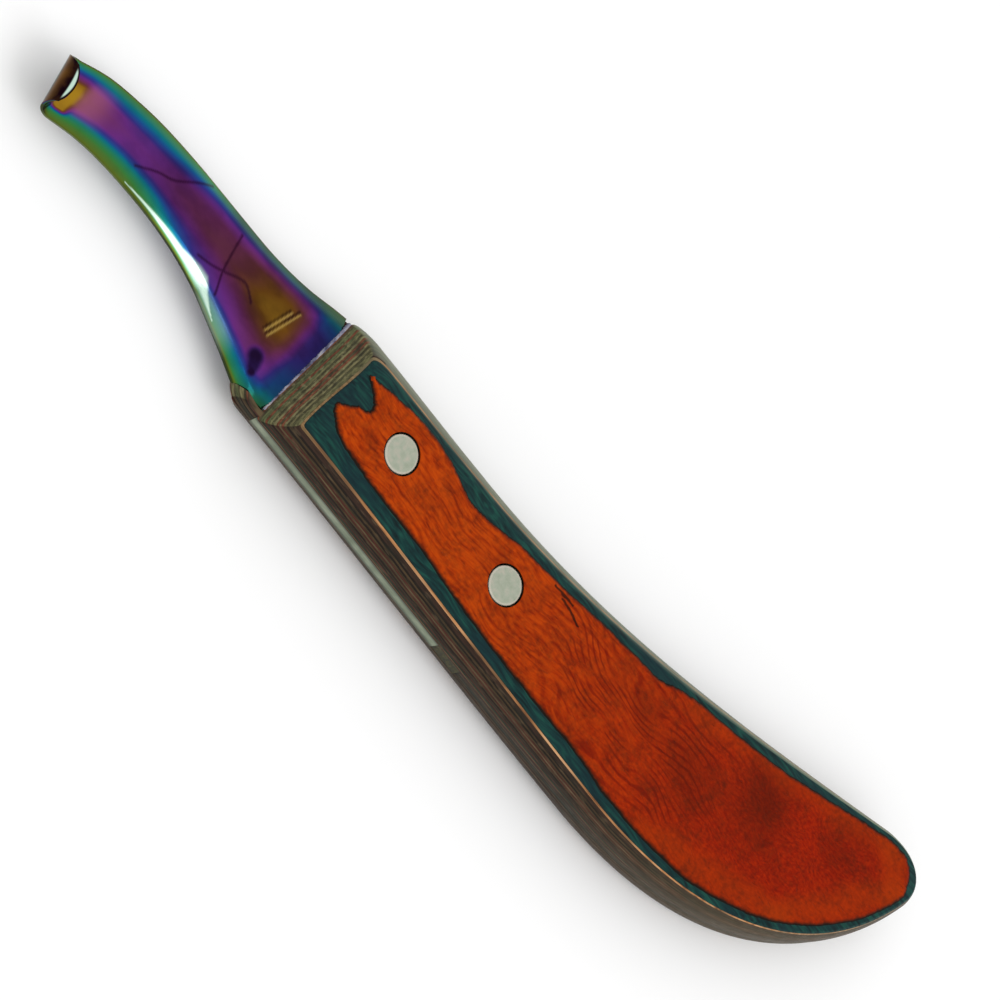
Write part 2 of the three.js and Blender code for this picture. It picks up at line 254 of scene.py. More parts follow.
def stack_mesh(name, levels, holes=()):
    """A closed solid through outlines of equal length, given as (z, outline) from low to high."""
    bm = bmesh.new()

    def ring(loop, z):
        return [bm.verts.new((x * MM, y * MM, z * MM)) for x, y in loop]

    def skin(lower, upper, outside):
        count = len(lower)
        for i in range(count):
            j = (i + 1) % count
            corners = (lower[i], lower[j], upper[j], upper[i])
            bm.faces.new(corners if outside else corners[::-1])

    rings = [ring(loop, z) for z, loop in levels]
    for lower, upper in zip(rings, rings[1:]):
        skin(lower, upper, True)
    hole_rings = [[ring(hole, levels[0][0]), ring(hole, levels[-1][0])] for hole in holes]
    for lower, upper in hole_rings:
        skin(lower, upper, False)
    for end, up in ((0, False), (-1, True)):
        loops = [rings[end]] + [pair[end] for pair in hole_rings]
        edges = [bm.edges.get((a, b)) for loop in loops for a, b in zip(loop, loop[1:] + loop[:1])]
        made = bmesh.ops.triangle_fill(bm, use_beauty=True, use_dissolve=False, edges=edges)
        for face in made["geom"]:
            if isinstance(face, bmesh.types.BMFace) and (face.normal.z > 0) != up:
                face.normal_flip()
    mesh = bpy.data.meshes.new(name)
    bm.to_mesh(mesh)
    bm.free()
    return mesh


def add_point_values(mesh, **values):
    for name, numbers in values.items():
        attribute = mesh.attributes.new(name, "FLOAT", "POINT")
        attribute.data.foreach_set("value", np.asarray(numbers, np.float32))


# ---- material building ----


def rgb(code):
    """A linear colour from a hexadecimal screen colour."""
    channels = [int(code[i : i + 2], 16) / 255 for i in (0, 2, 4)]
    linear = [c / 12.92 if c <= 0.04045 else ((c + 0.055) / 1.055) ** 2.4 for c in channels]
    return (*linear, 1.0)


class Shader:
    """Short calls for building one material's nodes."""

    def __init__(self, name, roughness=0.5, metallic=0.0, **constants):
        self.material = bpy.data.materials.new(name)
        self.material.use_nodes = True
        self.tree = self.material.node_tree
        self.surface = self.tree.nodes["Principled BSDF"]
        self.surface.inputs["Roughness"].default_value = roughness
        self.surface.inputs["Metallic"].default_value = metallic
        for socket, value in constants.items():
            self.surface.inputs[socket.replace("_", " ")].default_value = value
        place = self.tree.nodes.new("ShaderNodeTexCoord")
        self.mm = self.vector("SCALE", place.outputs["Object"], scale=1 / MM)
        split = self.tree.nodes.new("ShaderNodeSeparateXYZ")
        self.tree.links.new(self.mm, split.inputs[0])
        self.x, self.y, self.z = split.outputs

    def feed(self, socket, value):
        if isinstance(value, bpy.types.NodeSocket):
            self.tree.links.new(value, socket)
        else:
            socket.default_value = value

    def vector(self, operation, a, b=None, scale=None, output=0):
        node = self.tree.nodes.new("ShaderNodeVectorMath")
        node.operation = operation
        self.feed(node.inputs[0], a)
        if b is not None:
            self.feed(node.inputs[1], b)
        if scale is not None:
            self.feed(node.inputs["Scale"], scale)
        return node.outputs[output]

    def math(self, operation, a, b=0.0, clamp=False):
        node = self.tree.nodes.new("ShaderNodeMath")
        node.operation = operation
        node.use_clamp = clamp
        self.feed(node.inputs[0], a)
        self.feed(node.inputs[1], b)
        return node.outputs[0]

    def times(self, a, b):
        return self.math("MULTIPLY", a, b)

    def plus(self, a, b):
        return self.math("ADD", a, b)

    def minus(self, a, b):
        return self.math("SUBTRACT", a, b)

    def height_from(self, z):
        """Distance above or below a height, in millimetres."""
        return self.math("ABSOLUTE", self.minus(self.z, z))

    def facing(self, direction):
        """How far the surface faces a direction, from -1 to 1."""
        normal = self.tree.nodes.new("ShaderNodeNewGeometry").outputs["Normal"]
        return self.vector("DOT_PRODUCT", normal, direction, output="Value")

    def span(self, value, low, high, to_low=0.0, to_high=1.0):
        node = self.tree.nodes.new("ShaderNodeMapRange")
        node.interpolation_type = "SMOOTHSTEP"
        for socket, number in zip(node.inputs, (value, low, high, to_low, to_high)):
            self.feed(socket, number)
        return node.outputs[0]

    def noise_node(self, where, size, detail, roughness=0.5):
        node = self.tree.nodes.new("ShaderNodeTexNoise")
        self.feed(node.inputs["Vector"], where)
        node.inputs["Scale"].default_value = 1 / size
        node.inputs["Detail"].default_value = detail
        node.inputs["Roughness"].default_value = roughness
        return node

    def noise(self, size, detail=3.0, stretch=(1, 1, 1), warp=None, roughness=0.5):
        """Noise from 0 to 1 with features of about that size in millimetres, longer where stretched."""
        where = self.vector("DIVIDE", self.mm if warp is None else warp, stretch)
        return self.noise_node(where, size, detail, roughness).outputs["Fac"]

    def warped(self, size, amount):
        """Places in millimetres, moved about by smooth noise."""
        noise = self.noise_node(self.mm, size, 1.0).outputs["Color"]
        centred = self.vector("SUBTRACT", noise, (0.5, 0.5, 0.5))
        return self.vector("ADD", self.mm, self.vector("SCALE", centred, scale=amount))

    def distance(self, a, b):
        return self.vector("DISTANCE", a, b, output="Value")

    def distance_to_segment(self, place, start, end):
        """Plan distance in millimetres from a place to the straight line between two points."""
        a, b = (np.array([*point, 0.0]) for point in (start, end))
        flat = self.vector("MULTIPLY", place, (1, 1, 0))
        along = tuple(b - a)
        offset = self.vector("SUBTRACT", flat, tuple(a))
        dot = self.vector("DOT_PRODUCT", offset, along, output="Value")
        share = self.math("DIVIDE", dot, float((b - a) @ (b - a)), clamp=True)
        return self.distance(offset, self.vector("SCALE", along, scale=share))

    def value(self, name):
        node = self.tree.nodes.new("ShaderNodeAttribute")
        node.attribute_name = name
        return node.outputs["Fac"]

    def ramp(self, factor, stops, mode="LINEAR"):
        node = self.tree.nodes.new("ShaderNodeValToRGB")
        node.color_ramp.interpolation = mode
        elements = node.color_ramp.elements
        while len(elements) < len(stops):
            elements.new(0.5)
        for element, (place, _) in zip(elements, stops):
            element.position = place
        for element, (_, code) in zip(elements, stops):
            element.color = rgb(code)
        self.feed(node.inputs[0], factor)
        return node.outputs[0]

    def mix(self, factor, a, b):
        node = self.tree.nodes.new("ShaderNodeMix")
        node.data_type = "RGBA"
        self.feed(node.inputs["Factor"], factor)
        self.feed(node.inputs["A"], rgb(a) if isinstance(a, str) else a)
        self.feed(node.inputs["B"], rgb(b) if isinstance(b, str) else b)
        return node.outputs["Result"]

    def finish(self, colour, roughness=None, height=None, depth=0.02):
        self.feed(self.surface.inputs["Base Color"], colour)
        if roughness is not None:
            self.feed(self.surface.inputs["Roughness"], roughness)
        if height is not None:
            bump = self.tree.nodes.new("ShaderNodeBump")
            bump.inputs["Strength"].default_value = 1.0
            bump.inputs["Distance"].default_value = depth * MM
            self.feed(bump.inputs["Height"], height)
            self.feed(self.surface.inputs["Normal"], bump.outputs[0])
        return self.material


# ---- wood materials ----


# Darker clouds in the dyed face veneer: x, y and reach.
DARK_CLOUDS = [(70, 13, 9), (86, 18, 8), (58, 4, 9)]

# Paler orange along the margins of the butt.
PALE_MARGINS = [((52, 14), (91, 25.5)), ((91, 25.5), (97, 20)), ((97, 20), (84, 1)), ((84, 1), (58, -8))]

# How far in from those lines the paler orange reaches, and the curly lines' radians per millimetre.
MARGIN_REACH = 4.6
FIGURE_RATE = 5.2

# Two short splits in the face veneer behind the rear rivet.
SPLITS = [((19.8, 6.9), (24.2, 7.1)), ((22.2, 6.4), (27.2, 5.6))]


def orange_material():
    """Orange-dyed burl veneer: curly fine grain, darker and redder toward the butt."""
    s = Shader("orange_dyed_veneer", Specular_IOR_Level=0.05)
    warp = s.warped(14, 7)
    curl = s.warped(6, 3.2)
    grain = s.noise(0.62, 3, (7, 1, 1), warp)
    drift = s.plus(s.times(s.noise(12, 1, (1.7, 1, 1)), 15), s.times(s.noise(2.2, 2, (2, 1, 1)), 1.1))
    figure = s.math("SINE", s.times(s.plus(s.y, drift), FIGURE_RATE))
    cloud = s.noise(13, 3, (1.6, 1, 1))
    speckle = s.noise(0.42, 2, (1.8, 1, 1), curl, 0.6)
    toward_butt = s.span(s.x, 2, 78)
    bright = s.ramp(grain, [(0.3, "842400"), (0.45, "a43500"), (0.62, "b64202")])
    deep = s.ramp(speckle, [(0.3, "7c1200"), (0.48, "8e1a00"), (0.68, "a02400")])
    colour = s.mix(toward_butt, bright, deep)
    figured = s.times(s.span(s.x, 4, 38, 0.15, 1), s.span(s.x, 76, 58))
    stripe = s.times(s.span(figure, 0.1, 0.95), s.span(s.noise(2.6, 2, (2.5, 1, 1)), 0.36, 0.6))
    colour = s.mix(s.times(figured, s.times(stripe, 0.72)), colour, "6c0e00")
    colour = s.mix(s.span(cloud, 0.5, 0.72, 0, 0.28), colour, "5c1300")
    for x, y, reach in DARK_CLOUDS:
        near = s.span(s.distance(curl, (x, y, THICKNESS)), reach, 0, 0, 0.6)
        colour = s.mix(s.times(near, s.span(cloud, 0.3, 0.6)), colour, "430d00")
    for start, end in PALE_MARGINS:
        gap = s.distance_to_segment(curl, start, end)
        colour = s.mix(s.span(gap, MARGIN_REACH, 0.5, 0, 0.42), colour, "a23602")
    pores = s.span(s.noise(0.5, 1, (5, 1, 1), curl), 0.66, 0.74)
    colour = s.mix(s.times(pores, 0.2), colour, "3a0c00")
    broken = s.times(s.plus(s.noise(0.8, 2), s.noise(4, 2)), 0.5)
    edge = s.plus(s.value("sanded_edge"), broken)
    colour = s.mix(s.span(edge, 0.35, 0.9, 0, 0.8), colour, "3a1606")
    colour = s.mix(s.span(edge, 0.8, 1.15, 0, 0.9), colour, "0a1410")
    for start, end in SPLITS:
        gap = s.distance_to_segment(s.warped(1.2, 0.7), start, end)
        colour = s.mix(s.span(gap, 0.34, 0.12, 0, 0.85), colour, "1a0a04")
    rough = s.span(grain, 0.3, 0.7, 0.5, 0.36)
    height = s.minus(s.plus(grain, s.times(speckle, 0.5)), pores)
    return s.finish(colour, rough, height, 0.03)


# The knot in the teal veneer: its place, how much longer than wide it is, its reach and its rings.
KNOT_PLACE = (2.0, 6.5, FACE_BOTTOM_Z)
KNOT_STRETCH = (2.6, 1, 1)
KNOT_REACH = 2.2
KNOT_RING_RATE = 7.0

# The way the handle's high side faces, where a painted sheen makes the wood paler.
HIGH_SIDE_OUTWARD = (-0.25, 0.97, 0.0)


def teal_material():
    """Teal-dyed veneer with lighter grain lines, a knot in the bay of the face veneer and a painted sheen on
    the high side.
    """
    s = Shader("teal_dyed_veneer", Specular_IOR_Level=0.15)
    warp = s.warped(9, 2.4)
    grain = s.noise(0.5, 3, (9, 1, 1), warp)
    patch = s.noise(5, 2, (2.5, 1, 1))
    colour = s.ramp(grain, [(0.3, "021618"), (0.5, "052e2d"), (0.68, "10443a")])
    colour = s.mix(s.span(patch, 0.42, 0.66, 0, 0.6), colour, "07262c")
    squeezed = s.vector("DIVIDE", warp, KNOT_STRETCH)
    knot = s.distance(squeezed, tuple(np.divide(KNOT_PLACE, KNOT_STRETCH)))
    ring = s.math("SINE", s.times(knot, KNOT_RING_RATE))
    near = s.span(knot, KNOT_REACH, 0.4, 0, 0.22)
    colour = s.mix(s.times(near, s.span(ring, -0.6, 0.9)), colour, "1d6a54")
    inner_edge = s.span(s.height_from(MID_Z), RIM_BOTTOM_Z - MID_Z + 0.12, RIM_BOTTOM_Z - MID_Z, 0, 0.7)
    colour = s.mix(inner_edge, colour, "081816")
    # Painted sheen: the high side paler where its rounded edge catches the light.
    high_side = s.span(s.facing(HIGH_SIDE_OUTWARD), 0.3, 0.6, 0, 0.75)
    colour = s.mix(high_side, colour, "848c76")
    return s.finish(colour, s.span(grain, 0.3, 0.7, 0.5, 0.36), grain, 0.025)


def tan_material():
    """The thin undyed veneer under the teal one: darker in patches and at the front, and greyer on the high
    side with a painted sheen.
    """
    s = Shader("tan_veneer", Specular_IOR_Level=0.15)
    grain = s.noise(0.5, 3, (12, 1, 1))
    patch = s.noise(6, 2, (2, 1, 1))
    colour = s.ramp(grain, [(0.3, "70482a"), (0.5, "b07c4e"), (0.7, "c89c72")])
    colour = s.mix(s.span(patch, 0.46, 0.64, 0, 0.7), colour, "4a3a28")
    colour = s.mix(s.span(s.x, -25.6, -26.8, 0, 0.6), colour, "5a5438")
    # Painted sheen: greyer on the high side.
    colour = s.mix(s.span(s.y, -2, 6, 0, 0.45), colour, "6c6a52")
    return s.finish(colour, None, grain, 0.02)


# Stripe colours in the laminate by random tint, on the handle's sides and on its bevelled front: painted
# shade on the sides and painted light on the front, as lit and shaded copies of the same plies.
STRIPES_PER_PLY = 2
SHADED_SIDE_STRIPES = [
    (0.0, "1c130c"), (0.2, "36241a"), (0.38, "4a241a"), (0.55, "2a2c1e"), (0.75, "453622"), (0.9, "5c4c34"),
]  # fmt: skip
LIT_FRONT_STRIPES = [
    (0.0, "4c4a30"), (0.2, "6c6a46"), (0.38, "74442e"), (0.55, "5a603e"), (0.75, "78724e"), (0.9, "504630"),
]  # fmt: skip


def laminate_material():
    """Pressed brown, grey-green and reddish plies, whose edges show as fine stripes, with painted light on
    the front and the high side and painted shade in the slot.
    """
    s = Shader("pressed_laminate", Specular_IOR_Level=0.15)
    ply = (LINE_BOTTOM_Z - TANG_TOP_Z) / PLIES_PER_HALF
    from_mid = s.height_from(MID_Z)
    wander = s.times(s.minus(s.noise(9, 2), 0.5), ply * 0.7)
    place = s.math("DIVIDE", s.plus(from_mid, wander), ply / STRIPES_PER_PLY)
    index = s.math("FLOOR", place)
    within = s.math("FRACT", place)
    hashed = s.tree.nodes.new("ShaderNodeTexWhiteNoise")
    hashed.noise_dimensions = "1D"
    s.feed(hashed.inputs["W"], index)
    tint = hashed.outputs["Value"]
    fibre = s.noise(0.22, 3, (14, 5, 1))
    blotch = s.noise(2.2, 3, (3, 1, 0.6))
    # Painted light: the front bevel takes lighter stripe colours than the shaded sides.
    lit_front = s.span(s.facing((-1, 0, 0)), 0.3, 0.45)
    side, front = (s.ramp(tint, stripes, "CONSTANT") for stripes in (SHADED_SIDE_STRIPES, LIT_FRONT_STRIPES))
    colour = s.mix(lit_front, side, front)
    glue = s.times(s.span(within, 0.2, 0.02), 0.55)
    colour = s.mix(glue, colour, "120c08")
    colour = s.mix(s.span(fibre, 0.35, 0.7, 0.0, 0.55), colour, "16100a")
    pale = s.span(s.noise(0.3, 2, (9, 3, 1)), 0.55, 0.75, 0, 0.45)
    colour = s.mix(pale, colour, s.mix(lit_front, "5e4e3a", "8a8460"))
    colour = s.mix(s.span(blotch, 0.5, 0.7, 0, 0.45), colour, "20221a")
    toward_butt = s.span(s.x, 40, 90, 0, 0.45)
    colour = s.mix(toward_butt, colour, "544a34")
    # Painted sheen: the rounded high side paler where it catches the light.
    flatness = s.math("ABSOLUTE", s.facing((0, 0, 1)))
    high_side_sheen = s.times(s.span(s.facing(HIGH_SIDE_OUTWARD), 0.3, 0.7, 0, 0.58), s.span(flatness, 0.28, 0.55))
    colour = s.mix(high_side_sheen, colour, "8c947c")
    # Painted shadow: near black inside the slot, toward its end wall.
    painted_slot_shadow = s.times(s.span(from_mid, 1.2, 1.1), s.span(s.x, SLOT_END_X + 0.2, SLOT_END_X + 0.05, 0, 0.8))
    painted_slot_shadow = s.times(painted_slot_shadow, s.span(s.x, TANG_SIDE_END_X - 2, TANG_SIDE_END_X - 1))
    colour = s.mix(painted_slot_shadow, colour, "060504")
    height = s.plus(s.times(within, 0.6), fibre)
    return s.finish(colour, s.span(fibre, 0.3, 0.7, 0.42, 0.6), height, 0.02)


def rivet_material():
    """Sanded aluminium: fine crossed scratches, a mottled grey and a painted highlight on the rim."""
    s = Shader("sanded_aluminium", roughness=0.38, metallic=0.85)
    scratch_a = s.noise(0.12, 2, (14, 1, 1))
    scratch_b = s.noise(0.12, 2, (1, 14, 1))
    mottle = s.noise(1.2, 3)
    colour = s.ramp(mottle, [(0.3, "a2aa96"), (0.5, "aeb4a2"), (0.7, "bcb8a8")])
    flat = s.vector("MULTIPLY", s.mm, (1, 1, 0))
    from_axis = s.math("MINIMUM", *(s.distance(flat, (x, 0, 0)) for x in RIVET_XS))
    # Painted highlight: the rim paler where its broken edge catches the light.
    rim_highlight = s.span(from_axis, RIVET_RADIUS * 0.84, RIVET_RADIUS * 0.92, 0, 0.6)
    colour = s.mix(rim_highlight, colour, "d4cabc")
    scratches = s.plus(scratch_a, scratch_b)
    return s.finish(colour, s.span(scratches, 0.8, 1.2, 0.3, 0.5), scratches, 0.006)


# ---- steel materials ----

# The film's colours by phase: gold, brown, purple, blue, teal, green and a dark edge.
FILM_COLOURS = [
    (0.0, "ac8422"),
    (0.06, "7c501a"),
    (0.12, "6a3836"),
    (0.18, "70325e"),
    (0.26, "6a2f80"),
    (0.35, "383284"),
    (0.44, "1e5090"),
    (0.54, "127280"),
    (0.66, "257c60"),
    (0.78, "3a7c3c"),
    (0.88, "5c6c26"),
    (0.96, "303c18"),
    (1.0, "0c1a0c"),
]


def film_material():
    """Mirror-polished steel under a thin interference film that changes colour with thickness, with painted
    shade, painted highlights and painted reflections laid in from the blade's values.
    """
    s = Shader("interference_coated_steel", roughness=0.16, metallic=1.0)
    drift = s.times(s.minus(s.noise(5, 2, (2, 1, 1)), 0.5), 0.07)
    phase = s.plus(s.value("film_phase"), drift)
    film = s.ramp(phase, FILM_COLOURS)
    shade = s.value("film_shade")
    cloud = s.span(s.noise(2.6, 3, (1.6, 1, 1)), 0.35, 0.7, -0.06, 0.1)
    # Painted shade: darker reflections and shadow, mixed toward near black.
    colour = s.mix(s.math("ADD", shade, cloud, clamp=True), film, "16060f")
    colour = s.mix(s.value("rose_share"), colour, "bc6c94")
    # Painted highlights: pale mint where highlights are painted onto the steel.
    colour = s.mix(s.value("bare_share"), colour, "d8f6e4")
    # Painted reflections: fine dark lines.
    colour = s.mix(s.value("hairline"), colour, "240620")
    polish = s.noise(0.18, 2, (30, 1, 1))
    roughness = s.span(polish, 0.35, 0.7, 0.1, 0.15)
    return s.finish(colour, roughness, polish, 0.0012)


def tang_material():
    """Bare ground steel where the tang's edge comes out flush with the wood, with a painted highlight along
    its middle.
    """
    s = Shader("bare_tang_steel", roughness=0.35, metallic=0.5)
    ground = s.noise(0.15, 2, (20, 20, 1))
    patch = s.noise(3, 2)
    colour = s.ramp(patch, [(0.3, "6c7660"), (0.5, "7a846e"), (0.7, "8c947e")])
    # Painted shade toward the faces, leaving a painted highlight along the middle.
    painted_shade_toward_faces = s.span(s.height_from(MID_Z + 0.1), 0.3, 1.0, 0, 0.75)
    colour = s.mix(painted_shade_toward_faces, colour, "343a2c")
    return s.finish(colour, s.span(ground, 0.3, 0.7, 0.3, 0.5), ground, 0.006)


def glue_material():
    """Chipped pale glue and lifted fibres, with a cold tint beside the blade."""
    s = Shader("chipped_glue", Specular_IOR_Level=0.3)
    flecks = s.noise(0.9, 3, (1, 2, 1))
    colour = s.ramp(flecks, [(0.34, "3c3a4e"), (0.45, "64657c"), (0.56, "8c8c9c"), (0.7, "b0aca4")])
    return s.finish(colour, s.span(flecks, 0.3, 0.7, 0.4, 0.7), flecks, 0.08)


def dark_glue_material():
    """Set glue mixed with sanding dust."""
    s = Shader("dark_glue", Specular_IOR_Level=0.2)
    grit = s.noise(0.4, 3)
    colour = s.ramp(grit, [(0.35, "26241a"), (0.5, "3a3826"), (0.65, "4c4834")])
    return s.finish(colour, s.span(grit, 0.3, 0.7, 0.5, 0.8), grit, 0.04)


GLUE = glue_material()
DARK_GLUE = dark_glue_material()
ORANGE = orange_material()
TEAL = teal_material()
TAN = tan_material()
LAMINATE = laminate_material()
ALUMINIUM = rivet_material()
FILM = film_material()
BARE_STEEL = tang_material()

# ---- veneers ----

HOLES = [circle(x, HOLE_RADIUS, 72) for x in RIVET_XS]

# The ragged edge of the face veneer, from its front low corner round the butt to the notched
# front, where sanding went through to the veneer below.
FACE_EDGE = [
    (-23, -6.8), (-15, -7.6), (0, -7.8), (10, -8.5), (25, -8.8), (40, -8.6), (50, -9.2), (60, -8.6),
    (70, -6.8), (80, -2.4), (85, 0.9), (90, 5.6), (95, 12.4), (98.2, 20.2), (97.4, 23.8), (95, 26),
    (91.5, 26.2), (87, 24.9), (80, 22.4), (70, 18.9), (60, 16.3), (50, 14.1), (46, 12.6), (43.5, 11.4),
    (38, 10.7), (30, 9.6), (20, 7.9), (12, 6.9), (8, 5.9), (4, 5.0), (0, 4.7), (-3.5, 5.6), (-8, 6.6),
    (-14, 6.8), (-19, 6.1), (-23, 5.3), (-26.2, 4.4), (-24.6, 3.2), (-22.8, 1.9), (-22.3, 0.4),
    (-24.3, -0.6), (-25.6, -1.8), (-27.3, -3.0), (-27.0, -4.4), (-25.4, -5.6),
]  # fmt: skip


# How the face veneer's edge draws in, from its bottom to its top: share of its depth, millimetres in.
EDGE_PROFILE = [(0.0, 0.0), (0.3, 0.12), (0.6, 0.3), (0.82, 0.5), (0.94, 0.66), (1.0, 0.85)]
FACE_SEEDS = {"upper": 4, "lower": 9}
LOWER_FACE_SETBACK = 1.6


def add_layer(half, name, material, nodes, levels, sharp_degrees=32):
    """A group of veneers as one piece with its rivet holes, turned over for the lower half."""
    if half == "lower":
        levels = [(THICKNESS - z, loop) for z, loop in reversed(levels)]
    name = f"{half}_{name}"
    mesh = stack_mesh(name, levels, HOLES)
    new_piece(name, mesh, material, [f"{half}_{node}" for node in nodes], sharp_degrees)
    return mesh


def add_face_veneer(half):
    loop = closed_spline(FACE_EDGE, 16)
    along = np.arange(len(loop)) / len(loop) * 2 * math.pi
    normals = outward_normals(smoothed(loop, 5))
    seed = FACE_SEEDS[half]
    nicks = 0.13 * ripple(along * 14, seed) + 0.07 * ripple(along * 22, seed + 1)
    loop = loop + normals * (nicks - 0.05)[:, None]
    if half == "lower":
        loop[:, 0] -= LOWER_FACE_SETBACK * smoothstep(-loop[:, 0], 5, 25)
        loop[:, 1] += 0.35 * ripple(along * 5, 21)
    depth = THICKNESS - FACE_BOTTOM_Z
    levels = [(FACE_BOTTOM_Z + rise * depth, loop - normals * inward) for rise, inward in EDGE_PROFILE]
    mesh = add_layer(half, "orange_face", ORANGE, ["face_veneer"], levels, 60)
    points = np.array([v.co for v in mesh.vertices]) / MM
    height = points[:, 2] if half == "upper" else THICKNESS - points[:, 2]
    add_point_values(mesh, sanded_edge=1 - (height - FACE_BOTTOM_Z) / depth)


def add_rim_veneer(half):
    levels = []
    for rise in np.linspace(0, 1, 7):
        z = lerp(RIM_BOTTOM_Z, FACE_BOTTOM_Z, rise)
        levels.append((z, outline_at(z, half, RIM_SANDED_BACK * rise**1.6)))
    add_layer(half, "teal_rim", TEAL, ["rim_veneer"], levels, 50)


def add_line_veneer(half):
    levels = [(z, outline_at(z, half)) for z in np.linspace(LINE_BOTTOM_Z, RIM_BOTTOM_Z, 3)]
    add_layer(half, "tan_line", TAN, ["line_veneer"], levels)


def add_core(half):
    levels = [(z, outline_at(z, half)) for z in np.linspace(TANG_TOP_Z, LINE_BOTTOM_Z, 19)]
    nodes = [f"core_veneer_{i + 1}" for i in range(PLIES_PER_HALF)]
    add_layer(half, "laminate", LAMINATE, nodes, levels)


def add_middle():
    """The level plies behind the tang's slot."""
    loop = outline_at(TANG_TOP_Z, "upper")
    kept = loop[loop[:, 0] >= SLOT_END_X]
    start, end = kept[0].copy(), kept[-1].copy()
    start[0] = end[0] = SLOT_END_X
    kept = np.concatenate([[start], kept, [end]])
    mesh = stack_mesh("middle_laminate", [(TANG_BOTTOM_Z, kept), (TANG_TOP_Z, kept)])
    nodes = [f"middle_veneer_{i + 1}" for i in range(MIDDLE_PLIES)]
    new_piece("middle_laminate", mesh, LAMINATE, nodes)


for side in ("upper", "lower"):
    add_face_veneer(side)
    add_rim_veneer(side)
    add_line_veneer(side)
    add_core(side)
add_middle()


# The glue bead's ends in y, and how far below the tang's top its foot and its back lie.
GLUE_ENDS_Y = (-11.4, 9.9)
GLUE_FOOT = 0.1
GLUE_SUNK = 0.45


def add_glue_line():
    """A pale, chipped bead of glue where the upper plies end on the blade."""
    y = np.linspace(*GLUE_ENDS_Y, 170)
    front = FRONT_X["upper"] + FRONT_SKEW["upper"] * (y - HANDLE_LOW_Y) / (HANDLE_HIGH_Y - HANDLE_LOW_Y) * 2
    front -= FRONT_SKEW["upper"]
    ragged = 0.2 + 0.1 * ripple(y * 0.9, 31) + 0.04 * ripple(y * 5, 32)
    thick = 0.2 + 0.06 * ripple(y * 1.3, 33)
    inner = np.column_stack([front + 0.5, y])
    outer = np.column_stack([front - ragged, y])
    ridge = np.column_stack([front - 0.4 * ragged, y])
    tops, backs = [], []
    for plan, lift in ((outer, 0.05), (ridge, thick), (inner, 0.1)):
        tops.append(np.column_stack([plan, TANG_TOP_Z - GLUE_FOOT + lift * np.ones(len(y))]))
        backs.append(np.column_stack([plan, np.full(len(y), TANG_TOP_Z - GLUE_SUNK)]))
    mesh = grid_mesh("glue_line", np.array(tops), np.array(backs))
    new_piece("glue_line", mesh, GLUE, sharp_degrees=80)


SPLINTER_FOOT = [
    (-39.9, -11.75), (-38.9, -12.75), (-37.4, -13.3), (-33.6, -13.4), (-32.2, -12.6), (-33.2, -11.7),
    (-35.6, -12.2), (-38, -12.0),
]  # fmt: skip
SPLINTER_LEAN = np.array([1.3, 0.25])
SPLINTER_TOP_SIZE = 0.72
SPLINTER_BOTTOM_Z = 4.9
SPLINTER_TOP_Z = 7.5


def add_splinter():
    """The splinter of laminate left standing beside the blade's low edge."""
    loop = closed_spline(SPLINTER_FOOT, 10)
    middle = loop.mean(0)
    levels = []
    for rise in np.linspace(0, 1, 8):
        shrink = lerp(1, SPLINTER_TOP_SIZE, rise**2)
        shifted = middle + (loop - middle) * shrink + SPLINTER_LEAN * rise**2
        levels.append((lerp(SPLINTER_BOTTOM_Z, SPLINTER_TOP_Z, rise), shifted))
    mesh = stack_mesh("low_side_splinter", levels)
    new_piece("low_side_splinter", mesh, LAMINATE)


# ---- rivets ----


# How a rivet's end narrows: height above the face it lies on, millimetres in from its side.
RIVET_EDGE = [(0.0, 0.5), (0.03, 0.3), (0.09, 0.13), (0.18, 0.03), (0.3, 0.0)]


def add_rivet(node, x):
    """A solid rivet with softly broken edges, flush with both faces."""
    profile = RIVET_EDGE + [(THICKNESS - z, inward) for z, inward in reversed(RIVET_EDGE)]
    levels = [(z, circle(x, RIVET_RADIUS - inward, 96)) for z, inward in profile]
    mesh = stack_mesh(node + "_body", levels)
    new_piece(node + "_body", mesh, ALUMINIUM, [node], sharp_degrees=50)


for rivet_node, rivet_x in zip(("front_rivet", "rear_rivet"), RIVET_XS):
    add_rivet(rivet_node, rivet_x)

# ---- blade ----

LOW_EDGE = [
    (-33.4, -12.9), (-37, -12.8), (-40, -11.8), (-45, -10), (-50, -8.4), (-55, -6.9), (-61, -5.8),
    (-68, -5.3), (-75, -5.45), (-81, -5.95), (-86, -6.8), (-91.6, -8.4),
]  # fmt: skip
HIGH_EDGE = [
    (-32.6, 10.9), (-35.2, 10.3), (-40, 9.05), (-45, 8.2), (-50, 7.75), (-56, 7.6), (-62, 7.5),
    (-68, 7.35), (-75, 6.9), (-81, 6.1), (-88, 4.6), (-93.7, 2.3),
]  # fmt: skip
ACROSS_SAMPLES = 72
BLADE_STATIONS = 240
HOOK_STATIONS = 90

# The film's phase along the middle of the blade, by x: blue at the handle, gold beyond it,
# purple along the blade and gold again where the hook begins.
PHASE_ALONG = [
    (-94, 0.0), (-90.6, 0.01), (-89.5, 0.07), (-88, 0.14), (-85, 0.2), (-79, 0.25), (-70, 0.22),
    (-60, 0.16), (-54, 0.13), (-50, 0.1), (-46.5, 0.05), (-41.5, 0.03), (-39.2, 0.07), (-37.6, 0.14),
    (-36.6, 0.24), (-35.4, 0.33), (-33, 0.36),
]  # fmt: skip
# Painted shade along that middle: how much darker reflections and shade are painted into the film.
SHADE_ALONG = [
    (-94, 0.0), (-82, 0.0), (-76, 0.16), (-70, 0.46), (-60, 0.38), (-52, 0.36), (-46, 0.5), (-41, 0.42),
    (-38.4, 0.22), (-37, 0.3), (-35.8, 0.5), (-33, 0.65),
]  # fmt: skip
